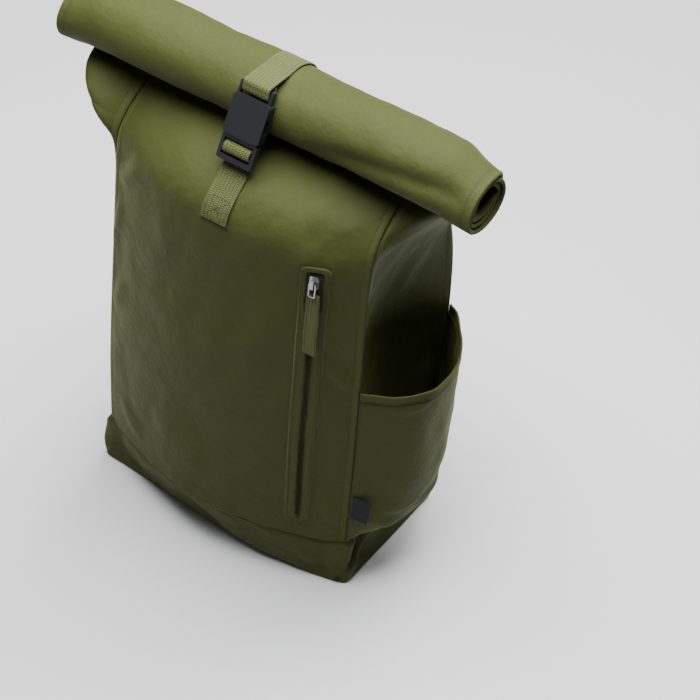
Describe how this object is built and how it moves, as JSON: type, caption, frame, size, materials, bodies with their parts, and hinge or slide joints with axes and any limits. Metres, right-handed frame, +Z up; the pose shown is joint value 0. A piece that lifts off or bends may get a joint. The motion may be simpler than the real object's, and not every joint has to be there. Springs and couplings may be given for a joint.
{
  "type": "rolltop backpack",
  "caption": "Cloth rolltop backpack standing on its base, its top rolled forward and held by a webbing strap with a side release buckle, with an open side pocket and a front zip.",
  "frame": {"origin": "on the floor under the middle of the base, at the base's flat underside", "axes": "+Z up, +X towards the side with the pocket, -Y towards the front with the buckle and zip"},
  "size_m": [0.4004, 0.2402, 0.4802],
  "materials": {
    "canvas": "matt olive cotton canvas",
    "strap_cloth": "matt olive padded canvas",
    "zip_cloth": "dark olive zip tape and coil",
    "webbing": "ribbed olive webbing",
    "label": "bare dark woven label",
    "buckle_plastic": "black moulded plastic, satin",
    "zip_metal": "bright nickel"
  },
  "bodies": {
    "root": {"front_panel": "canvas", "side_panel_right": "canvas", "back_panel": "canvas", "side_panel_left": "canvas", "base_panel": "canvas", "rolled_collar": "canvas", "side_pocket_right": "canvas", "zip_welt": "canvas", "zip_tape": "zip_cloth", "zip_coil": "zip_cloth", "zip_slider": "zip_metal", "zip_bail": "zip_metal", "zip_puller": "webbing", "side_label": "label", "front_webbing": "webbing", "top_webbing": "webbing", "buckle_male": "buckle_plastic", "buckle_female": "buckle_plastic", "shoulder_strap_right": "strap_cloth", "shoulder_strap_left": "strap_cloth", "adjuster_right": "buckle_plastic", "adjuster_left": "buckle_plastic", "lower_webbing_right": "webbing", "lower_webbing_left": "webbing"}
  },
  "joints": []
}
